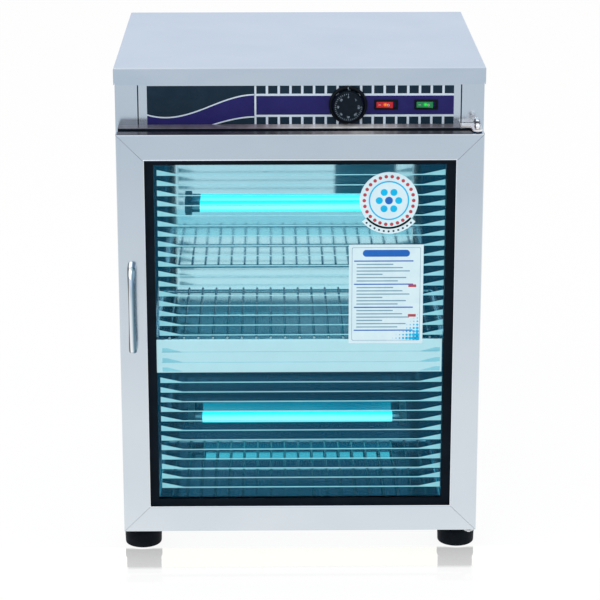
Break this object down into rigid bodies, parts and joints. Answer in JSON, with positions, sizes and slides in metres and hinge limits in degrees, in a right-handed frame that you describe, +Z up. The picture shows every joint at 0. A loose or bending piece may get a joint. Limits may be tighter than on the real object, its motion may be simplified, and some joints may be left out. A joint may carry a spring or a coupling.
{
  "type": "dish sterilizer cabinet",
  "caption": "Stainless dish sterilizer cabinet with a framed glass door, wire racks, ultraviolet lamps, a thermostat dial and lit rocker switches, on round feet",
  "frame": {"origin": "middle of the footprint, on the surface that the feet stand on", "axes": "+X to the viewer's right as one faces the door, +Y from the door to the back panel, +Z up"},
  "size_m": [0.458, 0.462, 0.63],
  "materials": {
    "polished_steel": "polished",
    "mirror_steel": "mirror polished",
    "zinc": "zinc plated, satin",
    "chrome": "bright plated",
    "wire_steel": "polished wire",
    "black_rubber": "matte",
    "black_plastic": "satin",
    "white_plastic": "satin",
    "red_plastic": "gloss, lit from within",
    "green_plastic": "gloss, lit from within",
    "clear_glass": "polished, printed stripes",
    "lamp_glass": "clear tube",
    "core_steel": "varnished laminations",
    "heater_sheath": "heat tinted",
    "mineral_board": "matte fibre"
  },
  "bodies": {
    "cabinet": {"outer_casing": "polished_steel", "back_panel": "polished_steel", "top_cover": "polished_steel", "control_panel": "polished_steel", "front_frame": "mirror_steel", "inner_liner": "mirror_steel", "insulation_left": "mineral_board", "insulation_right": "mineral_board", "insulation_back": "mineral_board", "foot_front_left": "black_rubber", "foot_front_right": "black_rubber", "foot_back_left": "black_rubber", "foot_back_right": "black_rubber", "hinge_bracket_top": "chrome", "hinge_bracket_bottom": "chrome", "hinge_pin_top": "chrome", "hinge_pin_bottom": "chrome", "catch_magnet": "black_plastic", "door_switch_body": "black_plastic", "thermostat_body": "zinc", "knob_bezel": "black_plastic", "thermostat_bulb": "wire_steel", "power_switch_housing": "black_plastic", "lamp_switch_housing": "black_plastic", "rack_rail_upper_left": "polished_steel", "rack_rail_upper_right": "polished_steel", "rack_rail_lower_left": "polished_steel", "rack_rail_lower_right": "polished_steel", "lamp_tube_upper": "lamp_glass", "lamp_tube_lower": "lamp_glass", "lamp_holder_upper_left": "white_plastic", "lamp_holder_upper_right": "white_plastic", "lamp_holder_lower_left": "white_plastic", "lamp_holder_lower_right": "white_plastic", "lamp_ballast": "core_steel", "lamp_starter": "white_plastic", "starter_socket": "white_plastic", "heater_element": "heater_sheath", "heater_bracket_front": "zinc", "heater_bracket_back": "zinc", "cable_gland": "black_plastic"},
    "door": {"door_rail_top": "polished_steel", "door_rail_bottom": "polished_steel", "door_stile_left": "polished_steel", "door_stile_right": "polished_steel", "door_glass": "clear_glass", "glazing_gasket": "black_rubber", "door_back_retainer": "polished_steel", "door_seal": "black_rubber", "door_handle": "chrome", "hinge_bush_top": "white_plastic", "hinge_bush_bottom": "white_plastic", "catch_striker": "zinc"},
    "thermostat_knob": {"thermostat_knob": "black_plastic"},
    "power_rocker": {"power_rocker": "red_plastic"},
    "lamp_rocker": {"lamp_rocker": "green_plastic"},
    "door_switch_plunger": {"door_switch_plunger": "white_plastic"},
    "upper_rack": {"upper_rack": "wire_steel"},
    "lower_rack": {"lower_rack": "wire_steel"}
  },
  "joints": [
    {"name": "door_hinge", "type": "hinge", "parent": "cabinet", "child": "door", "pos_m": [0.2165, -0.196, 0.3], "axis": [0, 0, 1], "range_deg": [0, 110]},
    {"name": "thermostat_turn", "type": "hinge", "parent": "cabinet", "child": "thermostat_knob", "pos_m": [0.0595, -0.16, 0.58325], "axis": [0, 1, 0], "range_deg": [0, 300]},
    {"name": "power_rocker_tilt", "type": "hinge", "parent": "cabinet", "child": "power_rocker", "pos_m": [0.1064, -0.1559, 0.58325], "axis": [0, 0, 1], "range_deg": [0, 16]},
    {"name": "lamp_rocker_tilt", "type": "hinge", "parent": "cabinet", "child": "lamp_rocker", "pos_m": [0.1558, -0.1559, 0.58325], "axis": [0, 0, 1], "range_deg": [0, 16]},
    {"name": "door_switch_press", "type": "slide", "parent": "cabinet", "child": "door_switch_plunger", "axis": [0, 1, 0], "range_m": [0, 0.004], "stiffness_N_per_m": 100},
    {"name": "upper_rack_slide", "type": "slide", "parent": "cabinet", "child": "upper_rack", "axis": [0, -1, 0], "range_m": [0, 0.028]},
    {"name": "lower_rack_slide", "type": "slide", "parent": "cabinet", "child": "lower_rack", "axis": [0, -1, 0], "range_m": [0, 0.028]}
  ]
}
